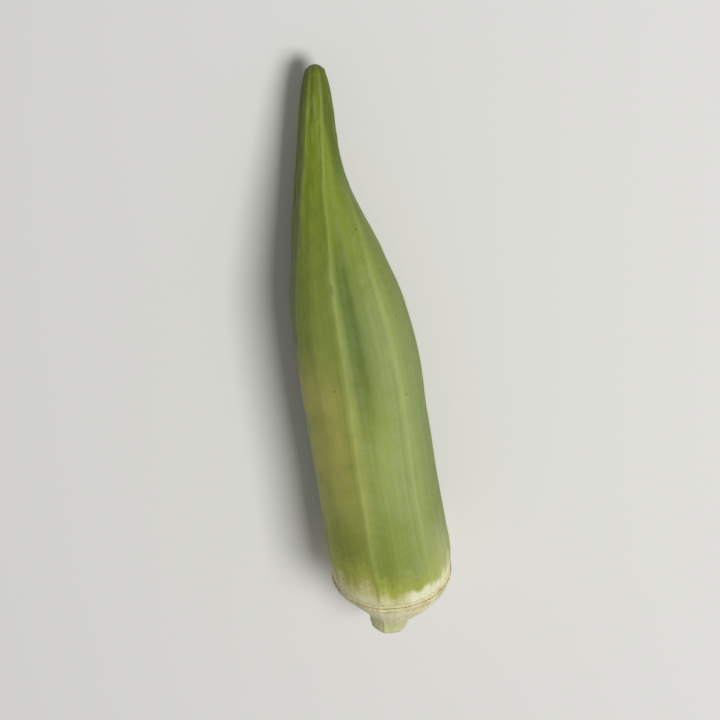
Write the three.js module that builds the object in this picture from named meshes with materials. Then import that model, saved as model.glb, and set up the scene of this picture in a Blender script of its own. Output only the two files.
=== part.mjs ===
// An okra pod as picked: one solid with a slender beak, seven narrow ribs, a square shoulder,
// the pale conical cap that the flower's calyx leaves behind, and a short cut stub of stem.
//
// Millimetres, +Z up. The pod lies on its side on the plane z = 0 with its tip towards +Y, and
// the origin is on that plane, under the middle of the pod's bounding box.
//
// The skin is a loft. A meridian says how thick the pod is at each distance behind the tip, a
// spine says where its middle runs, and a ridge wave says how far each point around it falls
// short of the ribs' crests. Angles around the pod start at the top and turn towards +X.

import * as THREE from "three";
import { LoftGeometry } from "three/addons/geometries/LoftGeometry.js";

// Lengths behind the tip.
const BELLY = 59; // where the pod reaches its full thickness
const SHOULDER = 101.4; // where the green body turns in to the cap
const SCAR = 103.6; // the ring scar of the fallen calyx
const NECK = 111; // where the cap's cone becomes the stem
const LENGTH = 115.2; // the cut end of the stem

// Radii out to the crests.
const BEAK_RADIUS = 3.1;
const BELLY_RADIUS = 11.95;
const SHOULDER_RADIUS = 12.1;
const SCAR_RADIUS = 11.8;
const STEM_RADIUS = 3.95;

// [distance behind the tip, crest radius] along the green body, then along the cap and stem.
const BODY_MERIDIAN = [
  [0, 1.1],
  [0.5, 1.7],
  [1.6, 2.1],
  [7.5, BEAK_RADIUS],
  [15.5, 4.1],
  [23, 5.4],
  [32, 7.65],
  [39, 9.4],
  [45.5, 10.75],
  [52, 11.5],
  [BELLY, BELLY_RADIUS],
  [72, 11.9],
  [86, 11.85],
  [95.5, SHOULDER_RADIUS],
  [99.4, 12.15],
  [SHOULDER, 11.95],
  [102.6, 11.68],
];
const CAP_MERIDIAN = [
  [103.1, 11.5],
  [SCAR, SCAR_RADIUS],
  [104.3, 11.65],
  [105.2, 11.1],
  [106.8, 9.95],
  [108.8, 8.1],
  [NECK, 5.9],
  [112.6, 4.5],
  [113.9, STEM_RADIUS],
  [114.8, 3.8],
  [LENGTH, 3.5],
];
const BODY_SECTIONS = 38;
const CAP_SECTIONS = 17;

// The spine: [distance behind the tip, sideways offset, height]. The beak bows to one side and
// stoops a little, and the stem leaves the cap a little askew.
const SPINE = [
  [0, 0, 6.2],
  [8.5, -1.0, 7.4],
  [21.5, -2.05, 9.0],
  [40, -1.35, 10.5],
  [BELLY, -0.5, 10.95],
  [75, -0.4, 11.15],
  [92, -0.15, 11.5],
  [105, -0.2, 11.7],
  [LENGTH, -2.2, 11.6],
];

// The scar and the stem's cut lie a little off square, their tops further back:
// [distance behind the tip, angle off square in degrees].
const SLANT = [
  [86, 0],
  [SCAR, 12],
  [NECK, 9],
  [LENGTH, 11],
];

// Ribs. They stand evenly around the pod except for a slow warp, which sets the two that the
// pod lies on evenly to both sides of its lowest line. Each is a narrow cord with a groove on
// either side, and the panel between two of them swells a little.
const RIDGES = 7;
const FIRST_RIDGE = THREE.MathUtils.degToRad(-16.5);
const WARP = THREE.MathUtils.degToRad(7.3);
const RIB_SHARPNESS = 2.6; // the higher, the narrower the rib
const PANEL_SWELL = 0.26; // of the panel's middle over the grooves, as a share of the depth
const POINTS_PER_RIDGE = 8; // one of them on the crest itself

// How deep the grooves of each panel are, as a share of the depths below. The first panel lies
// on the +X side of the first ridge, and the others follow towards +X.
const PANEL_DEPTHS = [1, 0.45, 0.7, 0.8, 0.7, 0.55, 0.3];

// [distance behind the tip, turn of the ribs in degrees from where they run at the shoulder].
const TWIST = [
  [4, 33],
  [14, 26],
  [24, 17],
  [40, 5],
  [56, 2.8],
  [88, 0],
];

// [distance behind the tip, depth of the grooves below the crests, as a share of the radius].
const RIDGE_DEPTH = [
  [0, 0.05],
  [4, 0.11],
  [24, 0.13],
  [44, 0.12],
  [BELLY, 0.1],
  [80, 0.07],
  [95, 0.04],
  [102, 0.02],
  [105, 0.02],
  [110, 0.03],
  [LENGTH, 0.05],
];

const REST_DEPTH = 0.5; // how much of the lowest crests is pressed flat where the pod lies

const SPINE_HALVINGS = 40; // find a place on the spine far closer than a micrometre
const WARP_STEPS = 12; // settle a warped angle far closer than a thousandth of a degree

// The value at a distance in a table of [distance, value] rows, easing out of each row and
// into the next.
function tableValue(table, distance) {
  const last = table.length - 1;
  const after = table.findIndex(([start]) => start > distance);
  if (after === 0) return table[0][1];
  if (after < 0) return table[last][1];
  const [lowDistance, lowValue] = table[after - 1];
  const [highDistance, highValue] = table[after];
  const ease = THREE.MathUtils.smoothstep(distance, lowDistance, highDistance);
  return THREE.MathUtils.lerp(lowValue, highValue, ease);
}

// A smooth curve through rows of [distance, radius], as evenly spaced Vector2 points.
function meridianPoints(rows, count) {
  const points = rows.map(([distance, radius]) => new THREE.Vector2(distance, radius));
  return new THREE.SplineCurve(points).getSpacedPoints(count - 1);
}

// Where the pod's middle runs, and which way it heads, at a distance behind the tip.
const spineCurve = new THREE.CatmullRomCurve3(
  SPINE.map(([distance, sideways, height]) => new THREE.Vector3(sideways, -distance, height)),
);

function spineFrame(distance) {
  // The curve's parameter is found by halving, because the curve runs steadily towards -Y.
  let low = 0;
  let high = 1;
  for (let step = 0; step < SPINE_HALVINGS; step++) {
    const middle = (low + high) / 2;
    if (-spineCurve.getPoint(middle).y < distance) low = middle;
    else high = middle;
  }
  const centre = spineCurve.getPoint(low);
  const back = spineCurve.getTangent(low);
  const right = new THREE.Vector3(0, 0, 1).cross(back).normalize();
  const up = new THREE.Vector3().crossVectors(back, right);
  return { centre, back, right, up };
}

// The angle around the pod of a phase of the ridges, which is a whole turn at each crest.
function ridgeAngle(phase, distance) {
  const twist = THREE.MathUtils.degToRad(tableValue(TWIST, distance));
  const even = phase / RIDGES + FIRST_RIDGE + twist;
  let angle = even;
  for (let step = 0; step < WARP_STEPS; step++) angle = even + WARP * (1 - Math.cos(angle));
  return angle;
}

// 1 on a crest, nearly 0 in a groove and PANEL_SWELL on the middle of a panel.
function ridgeWave(phase) {
  const nearness = (1 + Math.cos(phase)) / 2;
  return nearness ** RIB_SHARPNESS + PANEL_SWELL * (1 - nearness) ** 2;
}

// One closed ring of points around the pod, turning so that the loft's faces point outwards.
function section(distance, crestRadius) {
  const { centre, back, right, up } = spineFrame(distance);
  const depth = tableValue(RIDGE_DEPTH, distance);
  const slant = Math.tan(THREE.MathUtils.degToRad(tableValue(SLANT, distance)));
  const count = RIDGES * POINTS_PER_RIDGE;
  return Array.from({ length: count }, (_, i) => {
    // The points run from the last panel back to the first.
    const steps = count - i;
    const phase = (steps / POINTS_PER_RIDGE) * 2 * Math.PI;
    const angle = ridgeAngle(phase, distance);
    const panel = Math.floor(steps / POINTS_PER_RIDGE) % RIDGES;
    const grooving = depth * PANEL_DEPTHS[panel];
    const radius = crestRadius * (1 - grooving * (1 - ridgeWave(phase)));
    const sideways = radius * Math.sin(angle);
    const upwards = radius * Math.cos(angle);
    return centre
      .clone()
      .addScaledVector(right, sideways)
      .addScaledVector(up, upwards)
      .addScaledVector(back, slant * upwards);
  });
}

function podGeometry() {
  const meridian = [
    ...meridianPoints(BODY_MERIDIAN, BODY_SECTIONS),
    ...meridianPoints(CAP_MERIDIAN, CAP_SECTIONS),
  ];
  const sections = meridian.map(({ x, y }) => section(x, y));
  return new LoftGeometry(sections, { capStart: true, capEnd: true });
}

// Lays the pod on z = 0 by pressing its lowest crests flat, and centres it over the origin.
function layDown(geometry) {
  geometry.computeBoundingBox();
  const { min, max } = geometry.boundingBox;
  geometry.translate(-(min.x + max.x) / 2, -(min.y + max.y) / 2, -min.z - REST_DEPTH);
  const position = geometry.getAttribute("position");
  for (let i = 0; i < position.count; i++) position.setZ(i, Math.max(0, position.getZ(i)));
  geometry.computeVertexNormals();
  return geometry;
}

const pod = new THREE.Mesh(
  layDown(podGeometry()),
  new THREE.MeshStandardMaterial({ color: 0x8a9c50, roughness: 0.62, metalness: 0 }),
);
pod.name = "okra_pod";

const group = new THREE.Group();
group.add(pod);

export default group;
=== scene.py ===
"""An okra pod as picked, lying on its side: skin, cap, scar rim and down, dressed over its solid.

Lengths are millimetres until a mesh is finished, when its nodes scale it to metres. The tip
points along +Y, the pod lies on z = 0, and distances along the pod are counted back from its
tip. Angles around it start at the top and turn towards +X.

Paint and fine relief follow a place on the pattern cylinder, which is about as wide as the pod.
The place's numbers run up, to the right (+X) and back from the tip.
"""

from __future__ import annotations

import logging
import math
from dataclasses import dataclass, fields
from enum import Enum
from types import SimpleNamespace
from typing import Mapping, Sequence

import bpy
import numpy as np
from mathutils import Matrix, Vector

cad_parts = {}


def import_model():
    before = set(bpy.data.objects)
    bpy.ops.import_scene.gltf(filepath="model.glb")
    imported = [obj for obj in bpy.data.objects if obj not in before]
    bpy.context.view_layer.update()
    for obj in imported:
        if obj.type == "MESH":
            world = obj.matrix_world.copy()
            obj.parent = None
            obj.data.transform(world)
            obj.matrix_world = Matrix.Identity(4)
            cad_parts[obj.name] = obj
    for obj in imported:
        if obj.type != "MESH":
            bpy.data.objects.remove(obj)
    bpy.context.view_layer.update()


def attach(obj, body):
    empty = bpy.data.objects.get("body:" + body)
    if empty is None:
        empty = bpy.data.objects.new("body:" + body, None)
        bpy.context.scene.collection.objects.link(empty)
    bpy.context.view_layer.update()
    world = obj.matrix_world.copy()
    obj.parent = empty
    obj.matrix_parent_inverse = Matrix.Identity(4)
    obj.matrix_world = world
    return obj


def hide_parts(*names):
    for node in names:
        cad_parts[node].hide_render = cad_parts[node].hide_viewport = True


LOG = logging.getLogger("okra_pod")

MM = 0.001  # metres in a millimetre
FULL_TURN = 2 * math.pi
WRAP_RADIUS = 11.0  # of the pattern cylinder
NUDGE = 0.0001  # keeps a crest in the panel that starts at it
BODY = "root"
NODE = "okra_pod"

Span = tuple[float, float]
Rows = Sequence[Span]
Tint = tuple[float, float, float, float]


class Kind(Enum):
    """What one value of a field holds."""

    NUMBER = "FLOAT"
    VECTOR = "FLOAT_VECTOR"


class Socket(Enum):
    """What an input of a geometry tree takes."""

    GEOMETRY = "NodeSocketGeometry"
    NUMBER = "NodeSocketFloat"
    COUNT = "NodeSocketInt"
    MATERIAL = "NodeSocketMaterial"


class Carried(Enum):
    """Values that a mesh's points carry for its finish."""

    WRAP = "wrap"  # place on the pattern cylinder
    ALONG = "along"  # distance behind the tip
    CREST = "crest"  # 1 on a ridge crest, 0 midway between two
    FLANK = "flank"  # 0 on a crest, rising evenly to 1 midway between two
    SIDE = "side"  # above 0 on the +X side of the nearest crest, below 0 on its other side
    SEAM = "seam"  # 1 on the fine line along a crest
    CUT = "cut"  # 0 at the rim of the stem's cut, 1 at its middle

    @property
    def kind(self) -> Kind:
        """A vector for the place on the pattern cylinder, and a number for the rest."""
        return Kind.VECTOR if self is Carried.WRAP else Kind.NUMBER


def tint(red: int, green: int, blue: int) -> Tint:
    """Turns a colour's screen values into the linear ones that a shader takes.

    Args:
        red: Red, 0 to 255.
        green: Green, 0 to 255.
        blue: Blue, 0 to 255.

    Returns:
        Linear red, green and blue, with alpha 1.
    """
    parts = []
    for value in (red, green, blue):
        share = value / 255
        parts.append(share / 12.92 if share <= 0.04045 else ((share + 0.055) / 1.055) ** 2.4)
    return (parts[0], parts[1], parts[2], 1.0)


def label(name: str) -> str:
    """A tree input's name, such as "Seam height", from a field's, such as "seam_height"."""
    return name.replace("_", " ").capitalize()


def eased(rows: Rows, distances: np.ndarray) -> np.ndarray:
    """Reads a table with eased steps between its rows.

    Args:
        rows: Rows of distance and value.
        distances: Where to read it.

    Returns:
        A value for each distance.
    """
    starts, values = np.array(rows, float).T
    after = np.clip(np.searchsorted(starts, distances, side="right"), 1, len(starts) - 1)
    share = np.clip((distances - starts[after - 1]) / (starts[after] - starts[after - 1]), 0, 1)
    return values[after - 1] + (values[after] - values[after - 1]) * share**2 * (3 - 2 * share)


def curved(rows: Rows, distances: np.ndarray) -> np.ndarray:
    """Reads a table along one smooth curve through its rows.

    Args:
        rows: Rows of distance and value.
        distances: Where to read it.

    Returns:
        A value for each distance.
    """
    starts, values = np.array(rows, float).T
    slopes = np.gradient(values, starts)
    after = np.clip(np.searchsorted(starts, distances, side="right"), 1, len(starts) - 1)
    before = after - 1
    span = starts[after] - starts[before]
    share = (distances - starts[before]) / span
    low = (1 + 2 * share) * (1 - share) ** 2 * values[before]
    high = share**2 * (3 - 2 * share) * values[after]
    leave = share * (1 - share) ** 2 * span * slopes[before]
    arrive = share**2 * (share - 1) * span * slopes[after]
    return low + high + leave + arrive


@dataclass(frozen=True)
class Fade:
    """How something comes and goes along a measure: with no rise or fall, it has no limit there."""

    rise: Span | None = None  # from none at the first value to all at the second
    fall: Span | None = None  # from all at the first value to none at the second

    @classmethod
    def band(cls, low: float, high: float, soft: float) -> Fade:
        """All between low and high, with a soft end outside each."""
        return cls(rise=(low - soft, low), fall=(high, high + soft))


@dataclass(frozen=True)
class Zone:
    """A soft-edged region of the skin, by its place on the pattern cylinder."""

    amount: float = 1.0  # at its middle: a share of its paint, or a shift in millimetres
    along: Fade = Fade()
    up: Fade = Fade()
    right: Fade = Fade()


class Term:
    """A node socket that takes part in Python expressions, each of which adds its Math nodes."""

    def __init__(self, graph: Graph, socket: bpy.types.NodeSocket) -> None:
        """Wraps a socket of a graph's tree."""
        self.graph = graph
        self.socket = socket

    def __add__(self, other: Term | float) -> Term:
        """This plus other."""
        return self.graph.math("ADD", self, other)

    def __radd__(self, other: float) -> Term:
        """Other plus this."""
        return self.graph.math("ADD", other, self)

    def __sub__(self, other: Term | float) -> Term:
        """This less other."""
        return self.graph.math("SUBTRACT", self, other)

    def __rsub__(self, other: float) -> Term:
        """Other less this."""
        return self.graph.math("SUBTRACT", other, self)

    def __mul__(self, other: Term | float) -> Term:
        """This times other."""
        return self.graph.math("MULTIPLY", self, other)

    def __rmul__(self, other: float) -> Term:
        """Other times this."""
        return self.graph.math("MULTIPLY", other, self)

    def __truediv__(self, other: Term | float) -> Term:
        """This over other."""
        return self.graph.math("DIVIDE", self, other)

    def __pow__(self, other: Term | float) -> Term:
        """This to the power of other."""
        return self.graph.math("POWER", self, other)

    def __neg__(self) -> Term:
        """This with its sign changed."""
        return self.graph.math("MULTIPLY", self, -1.0)


class Graph:
    """A node tree under construction."""

    def __init__(self, tree: bpy.types.NodeTree) -> None:
        """Starts on an empty tree."""
        self.tree = tree

    def node(
        self,
        kind: str,
        settings: Mapping[str, object] | None = None,
        inputs: Mapping[str | int, object] | None = None,
    ) -> bpy.types.Node:
        """Adds a node.

        Args:
            kind: The node's type.
            settings: Its properties, which are set first.
            inputs: A value or a link for each of its sockets, by name or number.

        Returns:
            The node.
        """
        node = self.tree.nodes.new(kind)
        for name, value in (settings or {}).items():
            setattr(node, name, value)
        for name, value in (inputs or {}).items():
            if isinstance(value, Term):
                self.tree.links.new(value.socket, node.inputs[name])
            else:
                node.inputs[name].default_value = value
        return node

    def out(
        self,
        kind: str,
        settings: Mapping[str, object] | None = None,
        inputs: Mapping[str | int, object] | None = None,
        socket: str | int = 0,
    ) -> Term:
        """Adds a node and takes one of its outputs.

        Args:
            kind: The node's type.
            settings: Its properties.
            inputs: A value or a link for each of its sockets.
            socket: The output's name or number.

        Returns:
            The output, for use in expressions.
        """
        return Term(self, self.node(kind, settings, inputs).outputs[socket])

    def math(self, operation: str, *values: Term | float) -> Term:
        """Adds a Math node on one to three values."""
        return self.out("ShaderNodeMath", {"operation": operation}, dict(enumerate(values)))

    def vector(self, operation: str, *values: object) -> Term:
        """Adds a Vector Math node on one to three vectors."""
        return self.out("ShaderNodeVectorMath", {"operation": operation}, dict(enumerate(values)))

    def scaled(self, vector: Term, scale: Term | float) -> Term:
        """A vector or a colour times a number."""
        inputs = {0: vector, "Scale": scale}
        return self.out("ShaderNodeVectorMath", {"operation": "SCALE"}, inputs)

    def stretched(self, wrap: Term, share: float) -> Term:
        """A place on the pattern cylinder with its length cut to a share, which draws patterns out."""
        return self.vector("MULTIPLY", wrap, (1.0, 1.0, share))

    def combine(self, x: Term | float, y: Term | float, z: Term | float) -> Term:
        """A vector from three numbers."""
        return self.out("ShaderNodeCombineXYZ", None, {0: x, 1: y, 2: z})

    def split(self, vector: Term) -> tuple[Term, Term, Term]:
        """A vector's three numbers."""
        x, y, z = self.node("ShaderNodeSeparateXYZ", None, {0: vector}).outputs
        return (Term(self, x), Term(self, y), Term(self, z))

    def noise(self, place: Term, scale: float, detail: float = 2.0, bend: float = 0.0) -> Term:
        """Smooth noise from about 0 to 1.

        Args:
            place: Where to read it.
            scale: Bumps for each unit of length.
            detail: How many finer layers it has.
            bend: How far it is distorted.

        Returns:
            The noise.
        """
        inputs = {"Vector": place, "Scale": scale, "Detail": detail, "Distortion": bend}
        return self.out("ShaderNodeTexNoise", None, inputs)

    def step(self, value: Term, low: float, high: float) -> Term:
        """Rises smoothly from 0 to 1 as value goes from low to high."""
        inputs = {"Value": value, "From Min": low, "From Max": high}
        return self.out("ShaderNodeMapRange", {"interpolation_type": "SMOOTHSTEP"}, inputs)

    def shown(self, value: Term, fade: Fade, amount: Term | float = 1.0) -> Term | float:
        """Finds how much of an amount a fade lets show.

        Args:
            value: The measure that the fade runs along.
            fade: Where it comes and goes.
            amount: What shows where all of it does.

        Returns:
            The part of the amount that shows.
        """
        if fade.rise:
            amount = self.step(value, *fade.rise) * amount
        if fade.fall:
            amount = (1.0 - self.step(value, *fade.fall)) * amount
        return amount


class GeometryGraph(Graph):
    """A geometry tree with named inputs and one geometry output."""

    def __init__(self, name: str) -> None:
        """Starts a new tree.

        Args:
            name: The tree's name.
        """
        tree = bpy.data.node_groups.new(name, "GeometryNodeTree")
        tree.interface.new_socket("Geometry", in_out="OUTPUT", socket_type=Socket.GEOMETRY.value)
        super().__init__(tree)
        self.entry = self.node("NodeGroupInput")

    def takes(self, name: str, socket: Socket) -> Term:
        """Adds a named input to the tree."""
        self.tree.interface.new_socket(name, in_out="INPUT", socket_type=socket.value)
        return Term(self, self.entry.outputs[name])

    def takes_numbers(self, names: Sequence[str]) -> SimpleNamespace:
        """Adds an input for each field's name, and gives them as fields of the same names."""
        return SimpleNamespace(**{name: self.takes(label(name), Socket.NUMBER) for name in names})

    def attribute(self, name: str, kind: Kind = Kind.NUMBER) -> Term:
        """Reads what the points carry under a name."""
        return self.out("GeometryNodeInputNamedAttribute", {"data_type": kind.value}, {"Name": name})

    def stored(self, geometry: Term, value: Carried, field: Term) -> Term:
        """Has a geometry's points carry a field.

        Args:
            geometry: The geometry.
            value: Which of the carried values it is.
            field: The field.

        Returns:
            The geometry with it.
        """
        settings = {"data_type": value.kind.value, "domain": "POINT"}
        inputs = {"Geometry": geometry, "Name": value.value, "Value": field}
        return self.out("GeometryNodeStoreNamedAttribute", settings, inputs)

    def choice(self, index: Term, values: Sequence[float]) -> Term:
        """Picks one of several numbers.

        Args:
            index: Which one, from 0.
            values: The numbers.

        Returns:
            The number.
        """
        node = self.node("GeometryNodeIndexSwitch", {"data_type": "FLOAT"}, {"Index": index})
        for _ in range(len(values) - len(node.index_switch_items)):
            node.index_switch_items.new()
        for place, value in enumerate(values):
            node.inputs[place + 1].default_value = value
        return Term(self, node.outputs[0])

    def random_number(self, low: float, high: float, seed: Term) -> Term:
        """A number drawn for each point."""
        inputs = {2: low, 3: high, "Seed": seed}
        return self.out("FunctionNodeRandomValue", {"data_type": "FLOAT"}, inputs, socket=1)

    def random_vector(self, low: Sequence[float], high: Sequence[float], seed: Term) -> Term:
        """A vector drawn for each point."""
        inputs = {0: low, 1: high, "Seed": seed}
        return self.out("FunctionNodeRandomValue", {"data_type": "FLOAT_VECTOR"}, inputs)

    def cone(self, sides: int, bottom: Term, top: Term | float, height: Term) -> Term:
        """A small cone with few sides, standing on its wide end."""
        inputs = {"Vertices": sides, "Radius Top": top, "Radius Bottom": bottom, "Depth": height}
        return self.out("GeometryNodeMeshCone", {"fill_type": "TRIANGLE_FAN"}, inputs)

    def planted(self, points: Term, shape: Term, aim: Term, size: Term) -> Term:
        """Sets a copy of a shape on each point.

        Args:
            points: The points.
            shape: What stands on each.
            aim: Which way each copy points.
            size: How large each copy is.

        Returns:
            The copies, as instances.
        """
        turned = self.out("FunctionNodeAlignRotationToVector", {"axis": "Z"}, {"Vector": aim})
        inputs = {"Points": points, "Instance": shape, "Rotation": turned, "Scale": size}
        return self.out("GeometryNodeInstanceOnPoints", None, inputs)

    def in_metres(self, geometry: Term) -> Term:
        """Scales millimetres to metres."""
        return self.out("GeometryNodeTransform", None, {"Geometry": geometry, "Scale": (MM, MM, MM)})

    def finish(self, geometry: Term) -> bpy.types.NodeTree:
        """Makes any instances real, gives the geometry its material and links the output.

        Args:
            geometry: What the tree makes.

        Returns:
            The finished tree.
        """
        real = self.out("GeometryNodeRealizeInstances", None, {"Geometry": geometry})
        inputs = {"Geometry": real, "Material": self.takes("Material", Socket.MATERIAL)}
        self.node("NodeGroupOutput", None, {0: self.out("GeometryNodeSetMaterial", None, inputs)})
        return self.tree


class MaterialGraph(Graph):
    """A new material's tree."""

    def __init__(self, name: str) -> None:
        """Starts a new material.

        Args:
            name: The material's name.
        """
        self.material = bpy.data.materials.new(name)
        self.material.use_nodes = True
        self.material.node_tree.nodes.clear()
        super().__init__(self.material.node_tree)

    def carried(self, value: Carried) -> Term:
        """Reads what the mesh's points carry."""
        socket = "Vector" if value.kind is Kind.VECTOR else "Fac"
        return self.out("ShaderNodeAttribute", {"attribute_name": value.value}, None, socket)

    def mixed(self, share: Term | float, first: Term | Tint, second: Term | Tint) -> Term:
        """A colour between two others."""
        inputs = {0: share, 6: first, 7: second}
        return self.out("ShaderNodeMix", {"data_type": "RGBA"}, inputs, socket=2)

    def cells(self, wrap: Term, scale: float) -> tuple[Term, Term]:
        """Scatters dots over the pattern cylinder.

        Args:
            wrap: The place on the cylinder.
            scale: Dots for each millimetre.

        Returns:
            The distance to the nearest dot, in its own scale, and a number drawn for that dot.
        """
        node = self.node("ShaderNodeTexVoronoi", None, {"Vector": wrap, "Scale": scale})
        drawn, _, _ = self.split(Term(self, node.outputs["Color"]))
        return Term(self, node.outputs["Distance"]), drawn

    def finish(
        self,
        inputs: Mapping[str, object],
        height: Term | None = None,
        depth: float = 0.0,
        strength: float = 1.0,
    ) -> bpy.types.Material:
        """Adds the shader and its output.

        Args:
            inputs: What the shader's sockets take.
            height: A field that bumps the surface.
            depth: How deep a bump of 1 is, in metres.
            strength: How strongly the bumps show.

        Returns:
            The finished material.
        """
        inputs = dict(inputs)
        if height:
            bump = {"Strength": strength, "Distance": depth, "Height": height}
            inputs["Normal"] = self.out("ShaderNodeBump", None, bump)
        shader = self.out("ShaderNodeBsdfPrincipled", {"subsurface_method": "RANDOM_WALK"}, inputs)
        self.node("ShaderNodeOutputMaterial", None, {"Surface": shader})
        return self.material


def apply_tree(
    name: str, mesh: bpy.types.Mesh, tree: bpy.types.NodeTree, values: Mapping[str, object]
) -> bpy.types.Object:
    """Runs a geometry tree on a mesh and keeps the result as a plain mesh.

    Args:
        name: The new object's name.
        mesh: What the tree starts from.
        tree: The geometry tree.
        values: A value for each of the tree's named inputs.

    Returns:
        An object at the origin, with no modifier.
    """
    piece = bpy.data.objects.new(name, mesh)
    bpy.context.scene.collection.objects.link(piece)
    modifier = piece.modifiers.new("nodes", "NODES")
    modifier.node_group = tree
    for item in tree.interface.items_tree:
        if item.name in values and item.in_out == "INPUT":
            modifier[item.identifier] = values[item.name]
    seen = piece.evaluated_get(bpy.context.evaluated_depsgraph_get())
    made = bpy.data.meshes.new_from_object(seen)
    piece.modifiers.clear()
    piece.data = made
    made.name = name
    bpy.data.meshes.remove(mesh)
    return piece


def points_mesh(
    name: str,
    places: np.ndarray,
    carried: Mapping[str, np.ndarray],
    edges: Sequence[tuple[int, int]] = (),
) -> bpy.types.Mesh:
    """Makes a mesh of points that carry values.

    Args:
        name: The mesh's name.
        places: One row of x, y and z for each point.
        carried: A number or a vector for each point, by name.
        edges: Pairs of points that an edge joins.

    Returns:
        The mesh.
    """
    mesh = bpy.data.meshes.new(name)
    mesh.from_pydata(places.tolist(), edges, [])
    for key, values in carried.items():
        kind, slot = (Kind.VECTOR, "vector") if values.ndim == 2 else (Kind.NUMBER, "value")
        layer = mesh.attributes.new(key, kind.value, "POINT")
        layer.data.foreach_set(slot, values.astype(np.float32).ravel())
    return mesh


@dataclass(frozen=True)
class PodShape:
    """The pod's own form, in millimetres and radians, shared by every piece of it."""

    groove: float = 103.1  # between the body and the cap
    scar: float = 103.6
    length: float = 115.2
    belly_radius: float = 11.95
    body: Rows = (  # radius out to the crests, by the distance behind the tip
        (0, 1.1),
        (0.5, 1.7),
        (1.6, 2.1),
        (7.5, 3.1),
        (15.5, 4.1),
        (23, 5.4),
        (32, 7.65),
        (39, 9.4),
        (45.5, 10.75),
        (52, 11.5),
        (59, 11.95),
        (72, 11.9),
        (86, 11.85),
        (95.5, 12.1),
        (99.4, 12.15),
        (101.4, 11.95),
        (102.6, 11.68),
        (103.1, 11.5),
    )
    cap: Rows = (  # the same, from the groove on
        (103.1, 11.5),
        (103.6, 11.8),
        (104.3, 11.65),
        (105.2, 11.1),
        (106.8, 9.95),
        (108.8, 8.1),
        (111, 5.9),
        (112.6, 4.5),
        (113.9, 3.95),
        (114.8, 3.8),
        (115.2, 3.5),
    )
    sideways: Rows = (  # how far to the right the pod's middle runs
        (0, 0.0),
        (8.5, -1.0),
        (21.5, -2.05),
        (40, -1.35),
        (59, -0.5),
        (75, -0.4),
        (92, -0.15),
        (105, -0.2),
        (115.2, -2.2),
    )
    height: Rows = (  # and how high, before the pod is laid down
        (0, 6.2),
        (8.5, 7.4),
        (21.5, 9.0),
        (40, 10.5),
        (59, 10.95),
        (75, 11.15),
        (92, 11.5),
        (105, 11.7),
        (115.2, 11.6),
    )
    depth: Rows = (  # of the panels between the ridges, as a share of the radius
        (0, 0.05),
        (4, 0.11),
        (24, 0.13),
        (44, 0.12),
        (59, 0.1),
        (80, 0.07),
        (95, 0.04),
        (102, 0.02),
        (105, 0.02),
        (110, 0.03),
        (115.2, 0.05),
    )
    panels: Sequence[float] = (1.0, 0.45, 0.7, 0.8, 0.7, 0.55, 0.3)  # shares of the depth
    turn: Rows = ((4, 33), (14, 26), (24, 17), (40, 5), (56, 2.8), (88, 0))  # in degrees
    ridges: int = 7
    first_ridge: float = math.radians(-16.5)
    warp: float = math.radians(7.3)  # how unevenly the ridges stand round the pod
    warp_rounds: int = 12  # settle a warped angle
    rib_sharpness: float = 2.6  # the higher, the narrower a rib
    panel_swell: float = 0.26  # of a panel's middle, as a share of its depth
    slants: Rows = ((86, 0), (103.6, 12), (111, 9), (115.2, 11))  # in degrees off square
    rest_depth: float = 0.5  # how far the lowest crests are pressed flat
    reach: float = 0.05  # either way along the middle, to find its heading
    body_samples: int = 220  # rows of points that find the lowest one and the pod's ends
    cap_samples: int = 60
    samples_per_ridge: int = 32

    def frames(self, distances: np.ndarray) -> tuple[np.ndarray, np.ndarray, np.ndarray, np.ndarray]:
        """Finds where the pod's middle runs and which way it heads.

        Args:
            distances: Distances behind the tip.

        Returns:
            Rows of the middle's place, and of its unit vectors to the right, up and back.
        """

        def middle(places: np.ndarray) -> np.ndarray:
            """Places on the pod's middle."""
            return np.stack([curved(self.sideways, places), -places, curved(self.height, places)], -1)

        back = middle(distances + self.reach) - middle(distances - self.reach)
        back /= np.linalg.norm(back, axis=1, keepdims=True)
        right = np.cross([0.0, 0.0, 1.0], back)
        right /= np.linalg.norm(right, axis=1, keepdims=True)
        return middle(distances), right, np.cross(back, right), back

    def twist(self, distances: np.ndarray) -> np.ndarray:
        """How far the ribs turn from where they run at the shoulder."""
        return np.radians(eased(self.turn, distances))

    def slant(self, distances: np.ndarray) -> np.ndarray:
        """How much further back the pod's top lies than its middle, at the scar and the cut."""
        return np.tan(np.radians(eased(self.slants, distances)))

    def ridge_angle(self, phases: np.ndarray, distances: np.ndarray) -> np.ndarray:
        """Finds angles around the pod.

        Args:
            phases: Phases of the ridges, which are a whole turn at each crest.
            distances: Distances behind the tip.

        Returns:
            An angle for each phase.
        """
        even = phases / self.ridges + self.first_ridge + self.twist(distances)
        angle = even
        for _ in range(self.warp_rounds):
            angle = even + self.warp * (1 - np.cos(angle))
        return angle

    def surface(self, distances: np.ndarray, radii: np.ndarray, phases: np.ndarray) -> np.ndarray:
        """Places points on the plain skin, before it is laid down.

        Args:
            distances: Distances behind the tip, one for each point.
            radii: Radii out to the crests.
            phases: Phases of the ridges.

        Returns:
            Rows of x, y and z.
        """
        centre, right, up, back = self.frames(distances)
        angle = self.ridge_angle(phases, distances)
        nearness = (1 + np.cos(phases)) / 2
        wave = nearness**self.rib_sharpness + self.panel_swell * (1 - nearness) ** 2
        panel = np.floor(phases / FULL_TURN + NUDGE).astype(int) % self.ridges
        depth = eased(self.depth, distances) * np.array(self.panels)[panel]
        radius = radii * (1 - depth * (1 - wave))
        across = (radius * np.sin(angle))[:, None]
        upwards = (radius * np.cos(angle))[:, None]
        slant = self.slant(distances)[:, None]
        return centre + right * across + up * upwards + back * slant * upwards

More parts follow.
